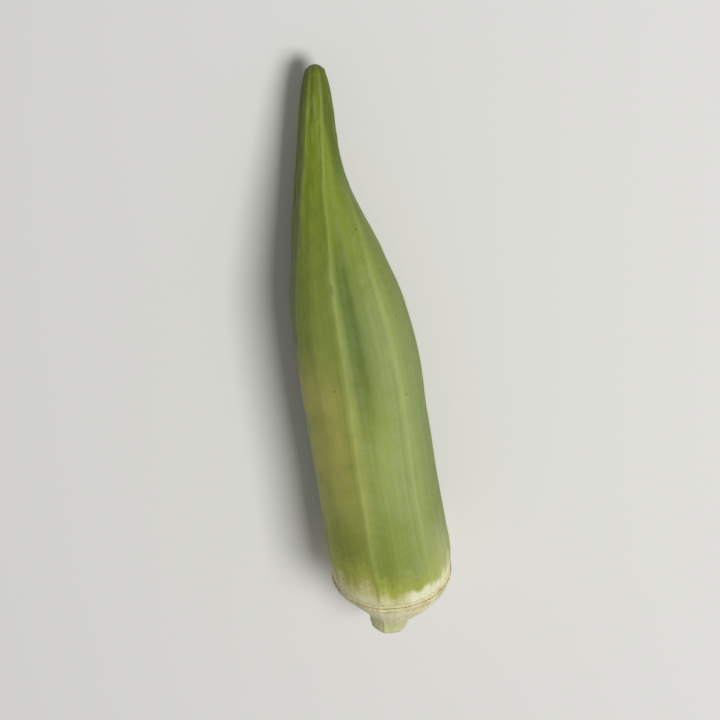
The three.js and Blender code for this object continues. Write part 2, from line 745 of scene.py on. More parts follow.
    def phases(self, points_per_ridge: int) -> np.ndarray:
        """Even phases right round the pod."""
        count = self.ridges * points_per_ridge
        return np.linspace(0, FULL_TURN * self.ridges, count, endpoint=False)

    def laid_down(self) -> np.ndarray:
        """Finds the shift that lays the pod on z = 0 and centres it over the origin.

        Returns:
            The shift along x, y and z.
        """
        parts = (
            (self.body, np.linspace(0, self.groove, self.body_samples)),
            (self.cap, np.linspace(self.groove, self.length, self.cap_samples)),
        )
        found = []
        for table, distances in parts:
            along, phase = np.meshgrid(distances, self.phases(self.samples_per_ridge))
            found.append(self.surface(along.ravel(), curved(table, along.ravel()), phase.ravel()))
        places = np.concatenate(found)
        low, high = places.min(0), places.max(0)
        return np.array([-(low[0] + high[0]) / 2, -(low[1] + high[1]) / 2, -low[2] - self.rest_depth])


@dataclass(frozen=True)
class Relief:
    """The fine relief of a lofted piece: heights and lengths in millimetres."""

    seam_height: float
    seam_sharpness: float = 55.0
    vein_height: float = 0.0
    vein_pitch: float = 2.3
    vein_rake: float = 2.6  # how much further back a vein lies midway between two crests
    seed_bulge: float = 0.0
    seed_pitch: float = 5.6
    dent_depth: float = 0.0
    fibre_depth: float = 0.0


class LoftTree:
    """Geometry nodes that wrap a ridged skin round a row of stations."""

    shape_sizes: Sequence[str] = (
        "ridges",
        "first_ridge",
        "warp",
        "rib_sharpness",
        "panel_swell",
        "belly_radius",
    )
    relief_sizes: Sequence[str] = tuple(field.name for field in fields(Relief))
    warp_rounds: int = 5  # settle a warped angle
    below_one: float = 0.99999  # keeps a cosine within what an arc cosine takes
    trough_share: float = 0.35  # of the seam's height, cut midway between two seams
    vein_waver: float = 9.0  # how far noise shifts the veins, in radians
    seed_shift: float = 2.1  # from one row of seeds to the next, in radians
    weld: float = 0.002  # closes the loft's edges

    def __init__(self, panels: Sequence[float]) -> None:
        """Builds the tree once, for the body and the cap.

        Args:
            panels: How deep the grooves of each panel are, as shares of the full depth.
        """
        self.graph = g = GeometryGraph("ridged_loft")
        self.panels = panels
        self.stations = g.takes("Stations", Socket.GEOMETRY)
        around = g.takes("Points around", Socket.COUNT)
        self.sizes = g.takes_numbers(self.shape_sizes + self.relief_sizes)
        counted = {"Geometry": self.stations}
        count = g.out("GeometryNodeAttributeDomainSize", {"component": "MESH"}, counted, "Point Count")
        grid_inputs = {"Size X": 1.0, "Size Y": 1.0, "Vertices X": count, "Vertices Y": around + 1.0}
        grid = g.out("GeometryNodeMeshGrid", None, grid_inputs)
        x, y, _ = g.split(g.out("GeometryNodeInputPosition"))
        self.station = g.math("ROUND", (x + 0.5) * (count - 1.0))
        self.round = y + 0.5  # share of the way round the pod

        self.distance = self.read("distance")
        self.radius = self.read("radius")
        self.phase = self.round * self.sizes.ridges * FULL_TURN
        self.angle = self.warped_angle()
        self.turn = g.math("COSINE", self.phase)
        self.flank = g.math("ARCCOSINE", self.turn * self.below_one) / math.pi
        nearness = (1.0 + self.turn) * 0.5
        self.crest = nearness**self.sizes.rib_sharpness
        self.wave = self.crest + self.sizes.panel_swell * (1.0 - nearness) ** 2.0
        fineness = self.sizes.seam_sharpness * (self.radius / self.sizes.belly_radius) ** 2.0
        self.seam = g.math("EXPONENT", -(fineness * (1.0 - self.turn)))
        self.trough = g.math("EXPONENT", -(fineness * 0.5 * (1.0 + self.turn)))
        cosine = g.math("COSINE", self.angle)
        sine = g.math("SINE", self.angle)
        self.wrap = g.combine(cosine * WRAP_RADIUS, sine * WRAP_RADIUS, self.distance)
        self.tree = self.finish(grid)

    def read(self, name: str, kind: Kind = Kind.NUMBER) -> Term:
        """Reads what this row's station carries.

        Args:
            name: The name it is carried under.
            kind: A number or a vector.

        Returns:
            The value.
        """
        field = self.graph.attribute(name, kind)
        inputs = {"Geometry": self.stations, "Value": field, "Index": self.station}
        settings = {"data_type": kind.value, "domain": "POINT"}
        return self.graph.out("GeometryNodeSampleIndex", settings, inputs)

    def warped_angle(self) -> Term:
        """Sets the ridges a little unevenly around the pod.

        Returns:
            The angle around the pod.
        """
        even = self.phase / self.sizes.ridges + self.sizes.first_ridge + self.read("twist")
        angle = even
        for _ in range(self.warp_rounds):
            angle = even + self.sizes.warp * (1.0 - self.graph.math("COSINE", angle))
        return angle

    def raised(self) -> Term:
        """Adds up the fine relief.

        Returns:
            How far the skin stands out of its plain form.
        """
        g, sizes = self.graph, self.sizes
        slope = g.math("SINE", self.flank * math.pi)  # 0 on a crest and midway between two
        waver = g.noise(self.wrap, scale=0.22, detail=1.0) * self.vein_waver
        raked = (self.distance - sizes.vein_rake * self.flank) * FULL_TURN / sizes.vein_pitch
        vein = g.math("SINE", raked + waver)
        row = g.math("FLOOR", self.round * sizes.ridges * 2.0 + NUDGE)
        seeds = g.math("COSINE", self.distance * FULL_TURN / sizes.seed_pitch + row * self.seed_shift)
        broad = g.noise(self.wrap, scale=0.075, detail=1.0)
        dent = broad + g.noise(self.wrap, scale=0.2, detail=1.0) * 0.5 - 0.75
        fibre = g.noise(g.stretched(self.wrap, 0.16), scale=0.9, detail=3.0) - 0.5
        return (
            sizes.seam_height * (self.seam - self.trough_share * self.trough)
            + sizes.vein_height * vein * slope
            + sizes.seed_bulge * (seeds * slope)
            + sizes.dent_depth * dent
            + sizes.fibre_depth * fibre
        )

    def place(self) -> Term:
        """Finds where a point of the skin lies.

        Returns:
            The place, no lower than the floor.
        """
        g = self.graph
        panel = g.math("FLOOR", self.round * self.sizes.ridges + NUDGE)
        panel = g.math("MINIMUM", panel, self.sizes.ridges - 1.0)
        grooving = self.read("depth") * g.choice(panel, self.panels)
        reach = self.radius * (1.0 - grooving * (1.0 - self.wave)) + self.read("relief") * self.raised()
        upwards = reach * g.math("COSINE", self.angle)
        offsets = {
            "right": reach * g.math("SINE", self.angle),
            "up": upwards,
            "back": self.read("slant") * upwards,
        }
        place = self.read("centre", Kind.VECTOR)
        for name, offset in offsets.items():
            place = g.vector("ADD", place, g.scaled(self.read(name, Kind.VECTOR), offset))
        x, y, z = g.split(place)
        return g.combine(x, y, g.math("MAXIMUM", z, 0.0))

    def finish(self, grid: Term) -> bpy.types.NodeTree:
        """Puts every point of a grid in its place, with what it carries.

        Args:
            grid: A grid with a row for each station.

        Returns:
            The finished tree.
        """
        g = self.graph
        carried = {
            Carried.WRAP: self.wrap,
            Carried.ALONG: self.distance,
            Carried.CREST: self.crest,
            Carried.FLANK: self.flank,
            Carried.SIDE: g.math("SINE", self.phase),
            Carried.SEAM: self.seam,
            Carried.CUT: self.read("cut"),
        }
        for value, field in carried.items():
            grid = g.stored(grid, value, field)
        moved = g.out("GeometryNodeSetPosition", None, {"Geometry": grid, "Position": self.place()})
        welded = g.out("GeometryNodeMergeByDistance", None, {"Geometry": moved, "Distance": self.weld})
        return g.finish(g.out("GeometryNodeSetShadeSmooth", None, {"Geometry": g.in_metres(welded)}))


@dataclass(frozen=True)
class Stretch:
    """A run of stations, each field with one value for all of them or one for each."""

    distance: np.ndarray | float  # behind the tip
    radius: np.ndarray  # out to the crests
    proud: np.ndarray | float = 0.0  # how far it is pushed back along the middle
    relief: np.ndarray | float = 1.0  # share of the fine relief
    cut: np.ndarray | float = 0.0  # share of the way in from the cut's rim


@dataclass
class LoftedPiece:
    """A closed piece of the pod's skin, from one row of stations to another."""

    shape: PodShape
    shift: np.ndarray
    name: str
    relief: Relief
    around: int

    def stations(self) -> Sequence[Stretch]:
        """The piece's stations, from its front to its back."""
        raise NotImplementedError

    def build(self, loft: LoftTree, material: bpy.types.Material) -> bpy.types.Object:
        """Wraps the skin round the stations.

        Args:
            loft: The geometry nodes that do it.
            material: The piece's finish.

        Returns:
            The finished object.
        """
        rows: dict[str, np.ndarray] = {}
        stretches = self.stations()
        for key in [field.name for field in fields(Stretch)]:
            runs = [np.broadcast_to(getattr(run, key), run.radius.shape) for run in stretches]
            rows[key] = np.concatenate(runs)
        distances = rows["distance"]
        centre, right, up, back = self.shape.frames(distances)
        centre = centre + self.shift + back * rows.pop("proud")[:, None]
        carried = {
            **rows,
            "depth": eased(self.shape.depth, distances),
            "twist": self.shape.twist(distances),
            "slant": self.shape.slant(distances),
            "centre": centre,
            "right": right,
            "up": up,
            "back": back,
        }
        values = {"Points around": self.around, "Material": material}
        for name in loft.shape_sizes:
            values[label(name)] = float(getattr(self.shape, name))
        for name in loft.relief_sizes:
            values[label(name)] = getattr(self.relief, name)
        return apply_tree(self.name, points_mesh(self.name, centre, carried), loft.tree, values)


@dataclass
class Body(LoftedPiece):
    """The green body, from the tip of the beak to the groove in front of the scar."""

    name: str = "okra_body"
    relief: Relief = Relief(
        seam_height=0.09, vein_height=0.012, seed_bulge=0.06, dent_depth=0.4, fibre_depth=0.06
    )
    around: int = 238
    rows: int = 372
    nose_rows: int = 20
    tip_rows: int = 9
    tail_rows: int = 6
    nose_length: float = 2.0  # behind the tip, where the rows lie closer together
    dome: float = 0.35  # how far the rounded tip stands out
    tail_length: float = 1.2  # how far the closed end runs on inside the cap
    relief_rise: Rows = ((0, 0.2), (6, 1.0))  # share of the relief, by the distance
    tail_relief: float = 0.5

    def stations(self) -> Sequence[Stretch]:
        """Lines up the body's stations.

        Returns:
            The rounded tip, the body itself, and its end closed inside the cap.
        """
        nose = np.linspace(0, self.nose_length, self.nose_rows, endpoint=False)
        along = np.append(nose, np.linspace(self.nose_length, self.shape.groove, self.rows))
        tip = np.sin(np.linspace(0, math.pi / 2, self.tip_rows, endpoint=False))
        tail = np.linspace(1, 0, self.tail_rows + 1)[1:]
        return (
            Stretch(
                distance=0.0,
                radius=tip * self.shape.body[0][1],
                proud=-self.dome * (1 - tip**2),
                relief=tip * self.relief_rise[0][1],
            ),
            Stretch(
                distance=along,
                radius=curved(self.shape.body, along),
                relief=eased(self.relief_rise, along),
            ),
            Stretch(
                distance=self.shape.groove,
                radius=tail * self.shape.body[-1][1],
                proud=(1 - tail) * self.tail_length,
                relief=tail * self.tail_relief,
            ),
        )


@dataclass
class Cap(LoftedPiece):
    """The pale cap and the stub of stem, from inside the body to the cut."""

    name: str = "okra_cap"
    relief: Relief = Relief(seam_height=0.06, dent_depth=0.45, fibre_depth=0.22)
    around: int = 336
    rows: int = 150
    front_rows: int = 5
    cut_rows: int = 26
    front_length: float = 1.4  # how far the closed front runs inside the body
    front_width: float = 0.97  # of the cap's own, behind the front
    front_bulge: float = 0.2  # of the front's length, from its rim to its middle
    front_relief: float = 0.3
    cut_relief: float = 0.4
    dish: float = 0.28  # how deep the cut sinks between its rim and its pith
    dish_share: float = 0.8  # of the way in, where the pith starts
    pith: float = 0.1  # how far the pith stands out

    def stations(self) -> Sequence[Stretch]:
        """Lines up the cap's stations.

        Returns:
            The front closed inside the body, the cap and stub, and the slanting cut.
        """
        along = np.linspace(self.shape.groove, self.shape.length, self.rows)
        front = np.linspace(0, 1, self.front_rows, endpoint=False)
        face = np.linspace(0, 1, self.cut_rows + 1)[1:]
        sunk = np.sin(np.clip(face / self.dish_share, 0, 1) * math.pi)
        return (
            Stretch(
                distance=self.shape.groove,
                radius=front * self.shape.cap[0][1] * self.front_width,
                proud=-self.front_length * (1 - front * self.front_bulge),
                relief=front * self.front_relief,
            ),
            Stretch(distance=along, radius=curved(self.shape.cap, along)),
            Stretch(
                distance=self.shape.length,
                radius=(1 - face) * self.shape.cap[-1][1],
                proud=-self.dish * sunk + self.pith * face,
                relief=self.cut_relief * (1 - face),
                cut=face,
            ),
        )


class SkinPaint:
    """The skin's colour while its layers go on, and the fields that they are laid by."""

    def __init__(self, graph: MaterialGraph, ground: Tint) -> None:
        """Starts with one colour all over.

        Args:
            graph: The material's tree.
            ground: The colour.
        """
        self.graph = graph
        self.colour: Term | Tint = ground
        self.wrap = graph.carried(Carried.WRAP)
        self.up, self.right, _ = graph.split(self.wrap)
        self.along = graph.carried(Carried.ALONG)
        self.crest = graph.carried(Carried.CREST)
        self.flank = graph.carried(Carried.FLANK)
        self.side = graph.carried(Carried.SIDE)
        self.seam = graph.carried(Carried.SEAM)
        self.streak = graph.noise(graph.stretched(self.wrap, 0.06), scale=1.1, detail=3.0)
        self.mottle = graph.noise(self.wrap, scale=0.16, detail=3.0)
        self.grain = graph.noise(self.wrap, scale=2.4)

    def lay(self, share: Term | float, colour: Tint) -> None:
        """Lays a share of a colour over what is there."""
        self.colour = self.graph.mixed(share, self.colour, colour)

    def within(self, zone: Zone) -> Term | float:
        """Finds how much of a zone's amount holds at each point.

        Args:
            zone: The zone.

        Returns:
            The zone's amount at its middle, fading to 0 outside it.
        """
        amount: Term | float = zone.amount
        for measure, fade in ((self.along, zone.along), (self.up, zone.up), (self.right, zone.right)):
            amount = self.graph.shown(measure, fade, amount)
        return amount


@dataclass(frozen=True)
class SkinFinish:
    """The body's skin: greens that follow its ridges, painted light and shade, a yellower beak, and a
    fringe at the scar.
    """

    # A darker green for the grooves, also laid as painted shade beside the ribs.
    valley: Tint = tint(96, 114, 38)
    flank: Tint = tint(140, 154, 68)
    crest: Tint = tint(158, 172, 94)
    line: Tint = tint(180, 190, 122)
    # A lighter green, laid as painted light on the side that the light comes from.
    sunny: Tint = tint(149, 163, 98)
    # A darker green, laid as painted shade on the beak's right side, in its creases and low on both
    # sides.
    deep: Tint = tint(84, 99, 32)
    # A yellower green, darkened partly as painted shade.
    beak: Tint = tint(118, 136, 26)
    # Darker still at the very tip, partly painted shade.
    tip: Tint = tint(96, 108, 14)
    tan: Tint = tint(174, 170, 90)
    # A darker green for the collar before the shoulder, partly painted shade.
    collar: Tint = tint(120, 134, 48)
    lime: Tint = tint(172, 174, 80)
    cream: Tint = tint(212, 206, 148)
    pale: Tint = tint(234, 232, 202)
    speck: Tint = tint(62, 54, 30)
    scuff: Tint = tint(120, 104, 58)
    roughness: float = 0.52

    dark_band: Zone = Zone(  # beside the rib that runs along the top: a darker green, partly its own and partly painted shade
        along=Fade((20, 38), (50, 76)), up=Fade((6, 9)), right=Fade((-3, 0.2), (1, 7))
    )
    dark_band_share: float = 0.92
    # Painted shade on the slope just right of the top rib.
    shaded_slope: Zone = Zone(
        0.4, along=Fade.band(60, 94, 12), up=Fade((6, 9)), right=Fade.band(-1.9, -1.0, 1.2)
    )
    # Painted light: lighter on the side that the light comes from.
    lit_side: Zone = Zone(up=Fade((-2, 5)), right=Fade((1, 7)))
    lit_share: float = 0.8
    # Painted light: a lighter patch right of the top, ahead of the shoulder.
    lit_patch: Zone = Zone(0.35, along=Fade.band(74, 84, 8), right=Fade.band(0.5, 5, 3))
    beak_shade: Span = (2.0, 7.0)  # painted shade, to the right of the tip's middle
    beak_shade_shift: float = 2.5  # how much further right it lies behind the tip
    # Painted shade: darker low on the left towards the tip, and low on the right all along.
    shaded_low_left: Zone = Zone(
        0.72, along=Fade(fall=(62, 84)), up=Fade(fall=(3, 9.5)), right=Fade(fall=(-2, 2))
    )
    shaded_low_right: Zone = Zone(0.4176, up=Fade(fall=(3, 9.5)), right=Fade((-2, 2)))
    tan_side: Zone = Zone(
        0.8, along=Fade.band(60, 88, 12), up=Fade((-8, 2)), right=Fade(fall=(-7, 1.5))
    )
    collar_fade: Fade = Fade.band(93, 106, 9)
    collar_share: float = 0.62

    tongue_length: float = 6.0  # of the fringe's broad ragged edge
    fleck_length: float = 1.6
    crumb_length: float = 4.6
    # How much sooner and later the fringe starts.
    early_fringe: Zone = Zone(2.0, up=Fade((-4, 4)), right=Fade(fall=(-7, 4)))
    late_fringe: Zone = Zone(2.4, up=Fade((0, 4)), right=Fade.band(-2.4, 6, 2.5))
    lime_rise: Span = (94.4, 99.2)
    cream_rise: Span = (98.4, 103.0)
    lip_rise: Span = (100.4, 101.8)
    # Paler at the right edge of the shoulder.
    pale_right_shoulder: Zone = Zone(along=Fade((88, 98)), up=Fade((0, 4)), right=Fade((6, 9.5)))
    # A painted highlight: the lip paler on its upper right.
    highlit_lip: Zone = Zone(up=Fade((0, 5)), right=Fade((0, 4)))
    left_lip: Zone = Zone(0.35, right=Fade(fall=(-8, -2)))
    vein_pitch: float = 1.9
    vein_rake: float = 2.6  # how much further back a vein lies midway between two crests
    vein_waver: float = 3.2

    def material(self) -> bpy.types.Material:
        """Lays the skin's paint and finishes its material.

        Returns:
            The material.
        """
        g = MaterialGraph("okra_skin")
        paint = SkinPaint(g, self.flank)
        # The dark band beside the top rib: partly the skin's own green, partly painted shade.
        beside = paint.within(self.dark_band)
        sunward = paint.within(self.lit_side)
        self.lay_ridges(paint, beside, sunward)
        self.lay_beak(paint)
        self.lay_low_shade_and_tan(paint)
        self.lay_shoulder(paint, sunward)
        self.lay_lines(paint, beside)

        nearest, _ = g.cells(paint.wrap, scale=1.25)
        pit = 1.0 - g.step(nearest, 0.06, 0.2)
        paint.lay(pit * 0.16, self.line)
        scuffs = g.step(g.noise(g.stretched(paint.wrap, 0.35), scale=0.42), 0.66, 0.72)
        paint.lay(scuffs * g.step(paint.crest, 0.75, 0.95) * 0.55, self.scuff)
        nearest, drawn = g.cells(paint.wrap, scale=0.5)
        speck = (1.0 - g.step(nearest, 0.05, 0.12)) * g.step(drawn, 0.86, 0.9)
        paint.lay(speck * 0.8, self.speck)

        brightness = 0.78 + paint.streak * 0.22 + paint.mottle * 0.16 + paint.grain * 0.08
        fine = g.noise(paint.wrap, scale=6.0, detail=1.0)
        height = paint.streak * 0.5 + paint.grain * 0.35 + fine * 0.18 - speck * 0.5 + pit * 0.2
        inputs = {
            "Base Color": g.scaled(paint.colour, brightness),
            "Roughness": self.roughness + (paint.grain - 0.5) * 0.16 - paint.seam * 0.04,
            "Subsurface Weight": 0.18,
            "Subsurface Radius": (0.6, 1.0, 0.3),
            "Subsurface Scale": 0.0012,
            "Sheen Weight": 0.03,
            "Sheen Roughness": 0.5,
            "Specular IOR Level": 0.24,
        }
        return g.finish(inputs, height, depth=0.00012, strength=0.5)

    def lay_ridges(self, paint: SkinPaint, beside: Term, sunward: Term) -> None:
        """Lays the darker grooves, the dark band beside the top rib, partly painted shade, the painted
        shade on the slope beside it, the lighter crests and painted light on the side that the light
        comes from.

        Args:
            paint: The paint so far.
            beside: 1 in the dark band beside the main rib, partly painted shade.
            sunward: 1 on the side that the light comes from, where painted light goes.
        """
        g = paint.graph
        groove = g.shown(paint.flank + (paint.mottle - 0.5) * 0.2, Fade.band(0.45, 0.6, 0.28))
        groove = groove * (0.08 + 0.16 * g.step(paint.mottle, 0.4, 0.65))
        # Darker grooves, the dark band beside the top rib, partly painted shade, and the painted shade
        # on the slope beside it.
        dark = groove + beside * self.dark_band_share + paint.within(self.shaded_slope)
        paint.lay(dark, self.valley)
        paint.lay(g.step(paint.crest, 0.3, 1.0) * 0.18, self.crest)
        # Painted light on the side that the light comes from.
        paint.lay(sunward * g.step(paint.along, 30.0, 60.0) * self.lit_share, self.sunny)
        # Painted light: the lighter patch ahead of the shoulder.
        paint.lay(paint.within(self.lit_patch), self.sunny)

    def lay_beak(self, paint: SkinPaint) -> None:
        """Lays the yellower beak and its darker tip, both partly painted shade, and painted shade on its
        right side and in the creases between its ridges.

        Args:
            paint: The paint so far.
        """
        g, along = paint.graph, paint.along
        # The yellower beak, its darkness partly painted shade.
        paint.lay(g.shown(along + paint.mottle * 8.0, Fade(fall=(20, 52)), 0.75), self.beak)
        shift = g.step(along, 8.0, 18.0) * self.beak_shade_shift
        turned = g.step(paint.right - shift, *self.beak_shade)
        # Painted shade on the beak's right side.
        paint.lay(g.shown(along, Fade(fall=(14, 33)), 0.85) * turned, self.deep)
        # The darker tip, partly painted shade.
        paint.lay(g.shown(along, Fade(fall=(1, 9)), 0.7), self.tip)
        # Painted shade on one side of each groove near the tip.
        crease = g.shown(paint.flank, Fade.band(0.6, 0.85, 0.2)) * g.step(paint.side, 0.05, 0.4)
        paint.lay(g.shown(along, Fade(fall=(7.5, 13)), 0.7) * crease, self.deep)

    def lay_low_shade_and_tan(self, paint: SkinPaint) -> None:
        """Lays painted shade, a deeper green low on both sides, and the tan patch on the left.

        Args:
            paint: The paint so far.
        """
        # Painted shade low on both sides.
        paint.lay(paint.within(self.shaded_low_left) + paint.within(self.shaded_low_right), self.deep)
        mottled = 0.6 + 0.4 * paint.graph.step(paint.mottle, 0.3, 0.6)
        paint.lay(paint.within(self.tan_side) * mottled, self.tan)

    def lay_shoulder(self, paint: SkinPaint, sunward: Term) -> None:
        """Lays the darker collar, partly painted shade, and the fringe from lime through cream to the
        pale lip, with a painted highlight on its upper right.

        Args:
            paint: The paint so far.
            sunward: 1 on the side that the light comes from.
        """
        g, along = paint.graph, paint.along
        # The darker collar, weaker on the lit side and on the crests: partly painted shade.
        collar = g.shown(along + paint.mottle * 4.0, self.collar_fade, self.collar_share)
        paint.lay(collar * (1.0 - sunward * 0.6) * (1.0 - paint.crest * 0.5), self.collar)

        tongues = g.noise(g.stretched(paint.wrap, 0.3), scale=0.34, bend=0.4) - 0.5
        flecks = g.noise(g.stretched(paint.wrap, 0.5), scale=1.3) - 0.5
        crumbs = g.noise(paint.wrap, scale=1.6, detail=3.0) - 0.5
        ragged = tongues * self.tongue_length + flecks * self.fleck_length + crumbs * self.crumb_length
        fringe = along + ragged + paint.within(self.early_fringe) - paint.within(self.late_fringe)
        # Paler at the right edge of the shoulder.
        edge = paint.within(self.pale_right_shoulder)
        paint.lay(edge * 0.2, self.pale)
        paint.lay(g.step(fringe, *self.lime_rise) * (0.75 - edge * 0.45), self.lime)
        paint.lay(g.step(fringe, *self.cream_rise) * 0.95, self.cream)

        lip = g.step(along + tongues * 3.0 + flecks * 1.2, *self.lip_rise)
        # Painted highlight on the lip's upper right.
        highlit_lip = paint.within(self.highlit_lip) * (0.65 - edge * 0.35)
        paint.lay(lip * (0.2 + highlit_lip + paint.within(self.left_lip)), self.pale)
        seam_end = paint.seam * g.shown(along + crumbs * 2.0, Fade.band(98.0, 101.4, 1.2))
        paint.lay(seam_end * g.step(paint.mottle, 0.35, 0.6) * 0.6, self.valley)

    def lay_lines(self, paint: SkinPaint, beside: Term) -> None:
        """Lays the light line on each crest, the painted shadow line beside it, and the veins.

        Args:
            paint: The paint so far.
            beside: 1 in the dark band beside the main rib, partly painted shade, where no veins show.
        """
        g, along, flank = paint.graph, paint.along, paint.flank
        # A painted shadow line on the left side of each crest.
        shadow_line = g.shown(flank, Fade.band(0.19, 0.25, 0.06)) * g.step(-paint.side, 0.2, 0.5)
        shadow_line = g.shown(along, Fade(fall=(92, 99)), shadow_line) * g.step(paint.streak, 0.3, 0.55)
        paint.lay(shadow_line * 0.22, self.valley)
        strength = 0.12 + 0.2 * g.step(along, 50.0, 70.0) - 0.14 * g.step(along, 90.0, 97.0)
        line = paint.seam * g.step(paint.streak + along * 0.004, 0.2, 0.6)
        paint.lay(line * strength, self.line)

        waver = g.noise(paint.wrap, scale=0.22, detail=1.0) * self.vein_waver
        raked = along - self.vein_rake * flank + waver
        vein = g.step(g.math("SINE", raked * (FULL_TURN / self.vein_pitch)), 0.72, 1.0)
        vein = g.shown(flank, Fade.band(0.15, 0.9, 0.12), vein) * g.step(paint.streak, 0.35, 0.65)
        paint.lay(vein * (1.0 - beside) * 0.1, self.line)


@dataclass(frozen=True)
class CapFinish:
    """The cap's dry cream fibre, its brown scar line, and the stem's cut."""

    cream: Tint = tint(212, 204, 158)
    pale: Tint = tint(232, 228, 190)
    green: Tint = tint(166, 176, 112)
    scar: Tint = tint(178, 160, 112)
    bark: Tint = tint(176, 164, 116)
    pith: Tint = tint(206, 204, 160)
    wood: Tint = tint(150, 138, 88)
    roughness: float = 0.7
    stub_rise: Span = (111.5, 115.0)
    scar_fade: Fade = Fade.band(104.2, 104.7, 0.5)
    wood_ring: Fade = Fade.band(0.2, 0.42, 0.12)  # by share of the way in from the cut's rim

    def material(self) -> bpy.types.Material:
        """Builds the cap's material.

        Returns:
            The material.
        """
        g = MaterialGraph("okra_cap")
        wrap = g.carried(Carried.WRAP)
        along = g.carried(Carried.ALONG)
        cut = g.carried(Carried.CUT)
        fibre = g.noise(g.stretched(wrap, 0.14), scale=1.5, detail=3.0)
        blotch = g.noise(wrap, scale=0.35, detail=3.0)
        grain = g.noise(wrap, scale=3.2)

        colour = g.mixed(fibre, self.cream, self.pale)
        colour = g.mixed(g.step(blotch, 0.5, 0.75) * 0.5, colour, self.bark)
        colour = g.mixed(g.step(along + blotch * 3.0, *self.stub_rise) * 0.5, colour, self.green)
        ragged = along + (fibre - 0.5) * 1.2 + (blotch - 0.5) * 1.2
        scar = g.shown(ragged, self.scar_fade, 0.5) * g.step(blotch, 0.35, 0.6)
        colour = g.mixed(scar, colour, self.scar)
        ring = g.shown(cut, self.wood_ring) * (0.5 + fibre * 0.5)
        colour = g.mixed(g.step(cut, 0.0, 0.04), colour, g.mixed(ring, self.pith, self.wood))
        inputs = {
            "Base Color": g.scaled(colour, 0.84 + fibre * 0.2 + grain * 0.12),
            "Roughness": self.roughness + (grain - 0.5) * 0.2,
            "Subsurface Weight": 0.15,
            "Subsurface Radius": (0.9, 0.9, 0.5),
            "Subsurface Scale": 0.001,
            "Specular IOR Level": 0.3,
        }
        return g.finish(inputs, fibre * 0.8 + grain * 0.35, depth=0.0002, strength=0.6)


@dataclass(frozen=True)
class PlainFinish:
    """A finish with a little colour variation, for the rim's flakes, the down and the floor."""

    name: str
    light: Tint
    dark: Tint
    scale: float  # patches for each metre
    roughness: float

    def material(self) -> bpy.types.Material:
        """Builds the material.

        Returns:
            The material.
        """
        g = MaterialGraph(self.name)
        patch = g.noise(g.out("ShaderNodeTexCoord", socket="Object"), self.scale)
        inputs = {
            "Base Color": g.mixed(patch, self.dark, self.light),
            "Roughness": self.roughness,
            "Specular IOR Level": 0.3,
        }
        return g.finish(inputs)


@dataclass
class Down:
    """The short stiff hairs on the skin, thickest along the crests."""

    density: float = 900_000.0  # for each square metre, at the crests
    flank_share: float = 0.35  # of the density, midway between the crests
    length: float = 0.55
    thickness: float = 0.035
    lean: float = 0.35  # towards the tip, as a share of a hair's length
    strays: float = 0.45  # how far a hair leans at random
    sizes: Span = (0.45, 1.25)
    sides: int = 3
    lowest: float = 1.2  # no hairs below this height
    last: float = 102.5  # nor behind this distance
    seed: int = 11

    def tree(self) -> bpy.types.NodeTree:
        """Makes the geometry nodes that grow hairs on a skin.

        Returns:
            The tree, in metres.
        """
        g = GeometryGraph("down")
        skin = g.takes("Skin", Socket.GEOMETRY)
        size = g.takes_numbers(("density", "length", "thickness", "lean", "lowest", "last"))
        seed = g.takes("Seed", Socket.COUNT)
        _, _, height = g.split(g.out("GeometryNodeInputPosition"))
        free = g.math("GREATER_THAN", height, size.lowest)
        free = free * g.math("LESS_THAN", g.attribute(Carried.ALONG.value), size.last)
        crest = g.attribute(Carried.CREST.value)
        thick = size.density * free * (self.flank_share + crest * (1 - self.flank_share))
        scatter = g.node(
            "GeometryNodeDistributePointsOnFaces",
            {"distribute_method": "RANDOM"},
            {"Mesh": skin, "Density": thick, "Seed": seed},
        )
        points = Term(g, scatter.outputs["Points"])
        normal = Term(g, scatter.outputs["Normal"])
        stray = g.random_vector((-self.strays,) * 3, (self.strays,) * 3, seed + 1.0)
        aim = g.vector("ADD", g.vector("ADD", normal, stray), g.combine(0.0, size.lean, 0.0))
        hair = g.cone(self.sides, size.thickness * 0.5, 0.0, size.length)
        return g.finish(g.planted(points, hair, aim, g.random_number(*self.sizes, seed + 2.0)))

    def build(self, skin: bpy.types.Object, material: bpy.types.Material) -> bpy.types.Object:
        """Grows the hairs.

        Args:
            skin: The body they grow on.
            material: Their finish.

        Returns:
            One object with every hair.
        """
        values = {
            "Density": self.density,
            "Length": self.length * MM,
            "Thickness": self.thickness * MM,
            "Lean": self.lean,
            "Lowest": self.lowest * MM,
            "Last": self.last,
            "Seed": self.seed,
            "Material": material,
        }
        return apply_tree("okra_down", skin.data.copy(), self.tree(), values)


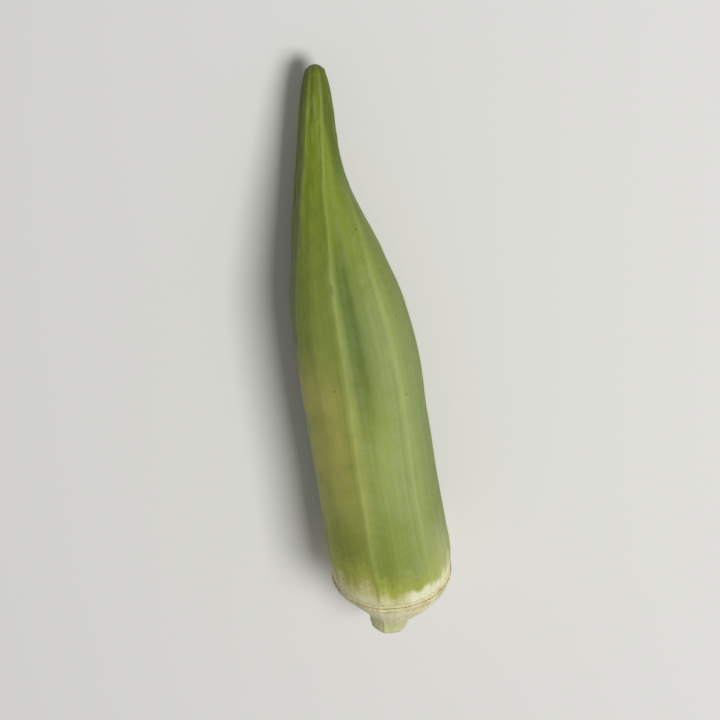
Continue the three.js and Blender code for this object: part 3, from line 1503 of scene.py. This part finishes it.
@dataclass
class ScarRim:
    """The torn dry edge that the calyx leaves round the scar."""

    shape: PodShape
    shift: np.ndarray
    flakes: int = 300
    width: float = 0.45
    height: float = 0.3
    top_share: float = 0.12  # a flake's radius at its top, as a share of its width
    sides: int = 4
    strays: Sequence[float] = (0.35, 0.5, 0.35)  # how far a flake leans at random
    smallest: Sequence[float] = (0.5, 0.3, 0.35)  # shares of a flake's width both ways and height
    largest: Sequence[float] = (1.3, 0.6, 1.2)
    points_per_ridge: int = 24
    setback: float = 0.1  # in front of the scar's crest
    root_depth: float = 1.0  # of the points that the flakes stand away from, under the skin
    lowest: float = 0.6  # no flake stands below this height
    seed: int = 5

    def tree(self) -> bpy.types.NodeTree:
        """Makes the geometry nodes that set flakes along the scar.

        Returns:
            The tree.
        """
        g = GeometryGraph("scar_rim")
        ring = g.takes("Ring", Socket.GEOMETRY)
        count = g.takes("Flakes", Socket.COUNT)
        size = g.takes_numbers(("width", "height"))
        seed = g.takes("Seed", Socket.COUNT)
        curve = g.out("GeometryNodeMeshToCurve", None, {"Mesh": ring})
        even = g.out("GeometryNodeResampleCurve", {"mode": "COUNT"}, {"Curve": curve, "Count": count})
        stray = g.random_vector([-reach for reach in self.strays], self.strays, seed)
        aim = g.vector("ADD", g.attribute("out", Kind.VECTOR), stray)
        flake = g.cone(self.sides, size.width * 0.5, size.width * self.top_share, size.height)
        sizes = g.random_vector(self.smallest, self.largest, seed + 1.0)
        return g.finish(g.in_metres(g.planted(even, flake, aim, sizes)))

    def build(self, material: bpy.types.Material) -> bpy.types.Object:
        """Sets the flakes.

        Args:
            material: Their finish.

        Returns:
            One object with every flake.
        """
        phases = self.shape.phases(self.points_per_ridge)
        count = len(phases)
        distances = np.full(count, self.shape.scar - self.setback)
        radius = curved(self.shape.cap, np.array([self.shape.scar]))[0]
        inner = self.shape.surface(distances, np.full(count, radius - self.root_depth), phases)
        outer = self.shape.surface(distances, np.full(count, radius), phases)
        places = outer + self.shift
        places[:, 2] = np.maximum(places[:, 2], self.lowest)
        edges = [(point, (point + 1) % count) for point in range(count)]
        mesh = points_mesh("scar_ring", places, {"out": outer - inner}, edges)
        values = {
            "Flakes": self.flakes,
            "Width": self.width,
            "Height": self.height,
            "Seed": self.seed,
            "Material": material,
        }
        return apply_tree("okra_scar_rim", mesh, self.tree(), values)


@dataclass
class Studio:
    """The floor, the light, the sky and the camera, in metres."""

    distance: float = 0.5
    tilt: float = math.radians(24)  # off straight down, towards the tip
    lean: float = math.radians(8.7)  # of the pod's tip to the left, as the camera sees it
    frame_height: float = 0.138  # what the camera takes in at the pod
    sensor: float = 36.0  # in millimetres
    clipping: Span = (0.01, 20.0)
    middle: float = 0.0105  # height of the pod's middle
    floor_size: float = 4.0
    floor_tint: Tint = tint(226, 225, 221)
    light_place: Sequence[float] = (0.38, -0.04, 0.80)
    light_size: float = 0.42
    light_watts: float = 6.2
    sky_strength: float = 0.24

    def camera(self) -> None:
        """Looks down on the pod, a little from its tip's side."""
        back = Vector((0.0, math.sin(self.tilt), math.cos(self.tilt)))
        across = Vector((1.0, 0.0, 0.0))
        towards_tip = back.cross(across)
        right = across * math.cos(self.lean) - towards_tip * math.sin(self.lean)
        up = across * math.sin(self.lean) + towards_tip * math.cos(self.lean)
        data = bpy.data.cameras.new("camera")
        data.sensor_width = self.sensor
        data.lens = self.sensor * self.distance / self.frame_height
        data.clip_start, data.clip_end = self.clipping
        camera = bpy.data.objects.new("camera", data)
        turn = Matrix((right, up, back)).transposed().to_4x4()
        place = Vector((0.0, 0.0, self.middle)) + back * self.distance
        camera.matrix_world = Matrix.Translation(place) @ turn
        bpy.context.scene.collection.objects.link(camera)
        bpy.context.scene.camera = camera

    def light(self) -> None:
        """Hangs a square soft light that faces the pod."""
        place = Vector(self.light_place)
        data = bpy.data.lights.new("key", "AREA")
        data.shape = "SQUARE"
        data.size = self.light_size
        data.energy = self.light_watts
        light = bpy.data.objects.new("key", data)
        light.rotation_mode = "QUATERNION"
        light.rotation_quaternion = (-place).to_track_quat("-Z", "Y")
        light.location = place
        bpy.context.scene.collection.objects.link(light)

    def sky(self) -> None:
        """Sets an even white sky."""
        world = bpy.data.worlds.new("studio")
        world.use_nodes = True
        background = world.node_tree.nodes["Background"]
        background.inputs["Color"].default_value = (1.0, 1.0, 1.0, 1.0)
        background.inputs["Strength"].default_value = self.sky_strength
        bpy.context.scene.world = world

    def floor(self) -> None:
        """Lays the pale floor."""
        side = self.floor_size / 2
        places = [(-side, -side, 0), (side, -side, 0), (side, side, 0), (-side, side, 0)]
        mesh = bpy.data.meshes.new("floor")
        mesh.from_pydata(places, [], [(0, 1, 2, 3)])
        card = PlainFinish("floor_card", self.floor_tint, self.floor_tint, scale=1.0, roughness=0.8)
        mesh.materials.append(card.material())
        floor = bpy.data.objects.new("floor", mesh)
        bpy.context.scene.collection.objects.link(floor)

    def build(self) -> None:
        """Makes the floor, the light, the sky and the camera."""
        self.floor()
        self.light()
        self.sky()
        self.camera()
        bpy.context.scene.view_settings.view_transform = "Standard"


def main() -> None:
    """Builds the studio, then the pod piece by piece."""
    logging.basicConfig(level=logging.INFO)
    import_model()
    Studio().build()

    shape = PodShape()
    shift = shape.laid_down()
    loft = LoftTree(shape.panels)
    flake = PlainFinish("dry_scar", tint(216, 210, 164), tint(176, 158, 108), scale=260.0, roughness=0.8)
    hair = PlainFinish("pale_down", tint(196, 202, 150), tint(172, 180, 118), scale=300.0, roughness=0.6)
    body = Body(shape, shift).build(loft, SkinFinish().material())
    cap = Cap(shape, shift).build(loft, CapFinish().material())
    rim = ScarRim(shape, shift).build(flake.material())
    down = Down().build(body, hair.material())
    for piece in (body, cap, rim, down):
        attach(piece, BODY)
        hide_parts(NODE)
        LOG.info("%s: %d faces", piece.name, len(piece.data.polygons))


if __name__ == "__main__":
    main()
